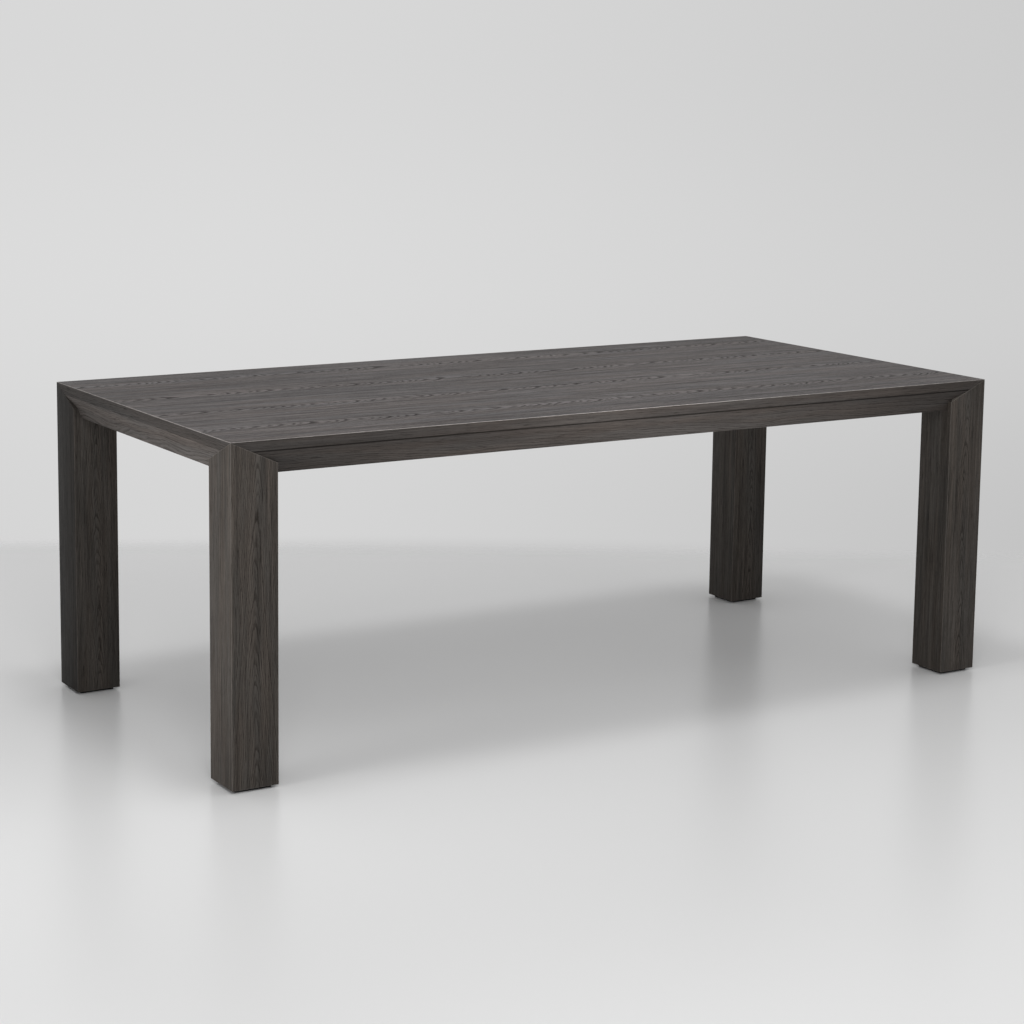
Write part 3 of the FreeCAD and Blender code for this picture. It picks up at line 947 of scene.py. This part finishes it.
def brace(corner, seed):
    """A corner block, with its grain upright."""
    node = f"corner_block_{corner}"
    middle = sum(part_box(node), Vector()) * 500
    cut = Cut("Z", "X", "Y", middle.x + 60, middle.y + 50, climb=0.01, ring=2.2, waver=0.8)
    bar = eased_bar(f"brace_{corner}", node)
    dress(bar, node, stained_oak(f"brace_wood_{corner}", cut, DARK_HARDWOOD, seed))


# ---- Screws, bolts, nuts and washers ----

# The shortest edge that is rounded, how much it is rounded, and the width of a screw's hexagon key,
# in millimetres.
Fastener = namedtuple("Fastener", "shortest_edge ease key", defaults=[None])
FASTENERS = {
    "apron_screws": Fastener(0.5, 0.7, 3.0),
    "cross_rail_screws": Fastener(0.5, 0.7, 3.0),
    "corner_block_screws": Fastener(0.5, 0.7, 3.0),
    "foot_pad_screws": Fastener(0.5, 0.25, 2.5),
    "leg_hanger_bolts": Fastener(0.5, 0.6),
    "leg_bolt_washers": Fastener(1.0, 0.3),
    "leg_bolt_nuts": Fastener(1.0, 0.5),
}
SOCKET_DEPTH = 1.4 * MM
HEAD_FACE_SHARE = 0.85


def sink_sockets(screws, key_width):
    """Sinks a socket for a hexagon key into each screw's head, which is its largest face."""
    largest = max(face.area for face in screws.data.polygons)
    heads = [
        (face.center.copy(), face.normal.copy())
        for face in screws.data.polygons if face.area > HEAD_FACE_SHARE * largest
    ]
    keys = []
    for middle, outwards in heads:
        bpy.ops.object.select_all(action="DESELECT")
        bpy.ops.mesh.primitive_cylinder_add(
            vertices=6, radius=key_width / math.sqrt(3), depth=2 * SOCKET_DEPTH,
            location=middle, rotation=outwards.to_track_quat("Z", "Y").to_euler(),
        )
        keys.append(bpy.context.object)
    for key in keys:
        key.select_set(True)
    bpy.ops.object.join()
    keys = bpy.context.object
    pick_up(screws)
    sockets = screws.modifiers.new("sockets", "BOOLEAN")
    sockets.operation = "DIFFERENCE"
    sockets.object = keys
    bpy.ops.object.modifier_apply(modifier=sockets.name)
    bpy.data.objects.remove(keys)


def fasteners(node, kind):
    """A node's screws, bolts, nuts or washers with rounded rims."""
    piece = merged_copy(f"zinc_{node}", node)

    def rim(one, other):
        return (one - other).length > kind.shortest_edge * MM

    ease(piece, rim, kind.ease * MM, segments=3)
    if kind.key:
        sink_sockets(piece, kind.key * MM)
    return piece


# ---- Floor ----

FLOOR_RADIUS = 6
FLOOR_GREY = 0.675
FLOOR_ROUGHNESS = 0.28
FLOOR_SPECULAR = 0.43

# The floor fades out between these distances from the table's middle, and between these distances
# behind it, in millimetres.
FLOOR_FADE = (2600, 3800)
FLOOR_END = (1350, 1620)


def studio_floor():
    bpy.ops.object.select_all(action="DESELECT")
    bpy.ops.mesh.primitive_circle_add(vertices=96, radius=FLOOR_RADIUS, fill_type="NGON")
    floor = bpy.context.object
    floor.name = "studio_floor"
    material, bench = blank_material("polished_pale_floor")
    place = millimetres(bench)
    reach = (place["X"] * place["X"] + place["Y"] * place["Y"]) ** 0.5
    beyond = place["X"] * math.sin(VIEW_TURN) + place["Y"] * math.cos(VIEW_TURN)
    shade = bench.node("ShaderNodeBsdfPrincipled", sockets={
        "Base Color": grey(FLOOR_GREY), "Roughness": FLOOR_ROUGHNESS, "Specular IOR Level": FLOOR_SPECULAR,
    })
    clear = bench.node("ShaderNodeBsdfTransparent")
    fading = reach.rise(*FLOOR_FADE).most(beyond.rise(*FLOOR_END))
    blend = bench.node("ShaderNodeMixShader", sockets={0: fading, 1: shade, 2: clear})
    bench.node("ShaderNodeOutputMaterial", sockets={"Surface": blend})
    floor.data.materials.append(material)


# ---- Air ----

# A place in the backdrop is how far a direction of length 1 falls below level, and for WALL_TURN how far
# it goes to the right.
# The backdrop's shading is painted: the wall is lighter at left than at right and darker at its foot, and
# the ground darkens towards the wall.
WALL_AT_LEFT, WALL_AT_RIGHT = grey(0.687), grey(0.585)
WALL_TURN = (-0.15, 0.35)
WALL_BRIGHTER = 0.035
WALL_BRIGHTER_BY = (0, 0.09)
WALL_FOOT_SHARE = 0.94
WALL_FOOT_DARKER_AT_RIGHT = 0.07
WALL_FOOT = (0.10, 0.21)
WALL_MEETS_GROUND = (0.205, 0.2145)
GROUND_AT_WALL, GROUND_IN_FRONT = grey(0.55), grey(0.76)
GROUND = (0.2, 0.38)
AIR_LIGHT = 0.63


def studio_air():
    """An even light, and a backdrop that only the camera, gloss and glass show."""
    world = bpy.data.worlds.new("studio_air")
    world.use_nodes = True
    world.node_tree.nodes.clear()
    bench = Wire(world.node_tree)
    way = bench.node("ShaderNodeTexCoord", output="Generated").axes()
    sideways = way["X"] * math.cos(VIEW_TURN) - way["Y"] * math.sin(VIEW_TURN)
    fall = way["Z"] * -1
    rightwards = sideways.rise(*WALL_TURN)
    wall = rightwards.mixed(WALL_AT_LEFT, WALL_AT_RIGHT)
    wall = wall.scaled(1 + WALL_BRIGHTER * fall.rise(*WALL_BRIGHTER_BY))
    foot = wall.scaled(WALL_FOOT_SHARE - WALL_FOOT_DARKER_AT_RIGHT * rightwards)
    wall = fall.rise(*WALL_FOOT).mixed(wall, foot)
    ground = fall.rise(*GROUND).mixed(GROUND_AT_WALL, GROUND_IN_FRONT)
    seen = fall.rise(*WALL_MEETS_GROUND).mixed(wall, ground)
    rays = bench.node("ShaderNodeLightPath").socket.node.outputs
    shown = Wire(bench.tree, rays["Is Camera Ray"]).most(Wire(bench.tree, rays["Is Glossy Ray"]))
    shown = shown.most(Wire(bench.tree, rays["Is Transmission Ray"]))
    backdrop = bench.node("ShaderNodeBackground", sockets={"Color": seen, "Strength": 1.0})
    light = bench.node("ShaderNodeBackground", sockets={"Color": grey(1.0), "Strength": AIR_LIGHT})
    both = bench.node("ShaderNodeMixShader", sockets={0: shown, 1: light, 2: backdrop})
    bench.node("ShaderNodeOutputWorld", sockets={"Surface": both})
    bpy.context.scene.world = world


# ---- Lamps ----

# Size is in metres and power in watts. Spread, in degrees, is that of a grid on the lamp's front. A lamp
# that isn't in gloss doesn't show in the floor or the lacquer.
Softbox = namedtuple("Softbox", "place aim size power spread in_gloss", defaults=[180, True])
TABLE_MIDDLE = (0, 0, 0.5)
SOFTBOXES = {
    "key_softbox": Softbox((-0.5, -0.3, 4.6), TABLE_MIDDLE, (1.0, 1.0), 46),
    "front_softbox": Softbox((-2.2, -3.6, 3.0), TABLE_MIDDLE, (1.4, 1.4), 58),
    "floor_softbox": Softbox((-0.6, -1.7, 2.4), (-0.6, -1.7, 0), (1.0, 1.0), 7),
    "band_softbox": Softbox((0.05, -2.4, 0.55), (0.05, -0.5, 0.95), (0.5, 0.3), 6.6, 56, in_gloss=False),
    "side_softbox": Softbox((-3.2, -0.75, 0.4), (-1.05, -0.5, 0.55), (0.8, 0.8), 5, 50, in_gloss=False),
}


def hang_softbox(name, softbox):
    """Hangs a lamp that doesn't show itself."""
    data = bpy.data.lights.new(name, "AREA")
    data.shape = "RECTANGLE"
    data.size, data.size_y = softbox.size
    data.energy = softbox.power
    data.spread = math.radians(softbox.spread)
    lamp = bpy.data.objects.new(name, data)
    lamp.location = softbox.place
    lamp.rotation_euler = (Vector(softbox.aim) - Vector(softbox.place)).to_track_quat("-Z", "Y").to_euler()
    lamp.visible_camera = False
    lamp.visible_glossy = softbox.in_gloss
    bpy.context.scene.collection.objects.link(lamp)


# ---- The table put together ----

# Each kind of stained piece starts its seeds at a number of its own, so that no two have the same grain.
for number in LEAF_HEARTS:
    veneer_leaf(number)
for seed, (side, strip) in enumerate(edge_strips().items(), start=11):
    dress(strip, f"edge_strip_{side}", side_oak("band", side, seed, BAND_LIGHT_AND_SHADE[side]))
for seed, (side, rail) in enumerate(aprons().items(), start=21):
    dress(rail, f"apron_{side}", side_oak("rail", side, seed, RAIL_LIGHT_AND_SHADE[side]))
for seed, (node, board) in enumerate(leg_boards().items(), start=31):
    dress(board, node, leg_oak(board.name, node, seed))

shaded_pad_rubber = shaded_black_rubber()
for node, pad in foot_pads().items():
    dress(pad, node, shaded_pad_rubber)

for seed, number in enumerate((1, 2, 3), start=51):
    stay(number, seed)
for seed, corner in enumerate(CORNERS, start=61):
    brace(corner, seed)

beech = plain_wood("bare_beech", BEECH, 71)
fibreboard = plain_wood("bare_fibreboard", FIBREBOARD, 72)
underside_cut = Cut("X", "Y", "Z", 60, 700, climb=0.03, ring=3.2, waver=1.2)
backing = stained_oak("underside_oak", underside_cut, UNDERSIDE_OAK, 73)
zinc = zinc_plate()
for node, kind in FASTENERS.items():
    dress(fasteners(node, kind), node, zinc)

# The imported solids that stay: the panel, its balancing veneer, the legs' blocks and the dowels.
panel_materials = {"top_core": fibreboard, "top_balancing_veneer": backing}
for name, node in CAD.items():
    if not node.hide_render:
        node.data.materials.clear()
        node.data.materials.append(panel_materials.get(name, beech))

studio_floor()
studio_air()
for name, softbox in SOFTBOXES.items():
    hang_softbox(name, softbox)

bpy.context.scene.view_settings.view_transform = "Standard"
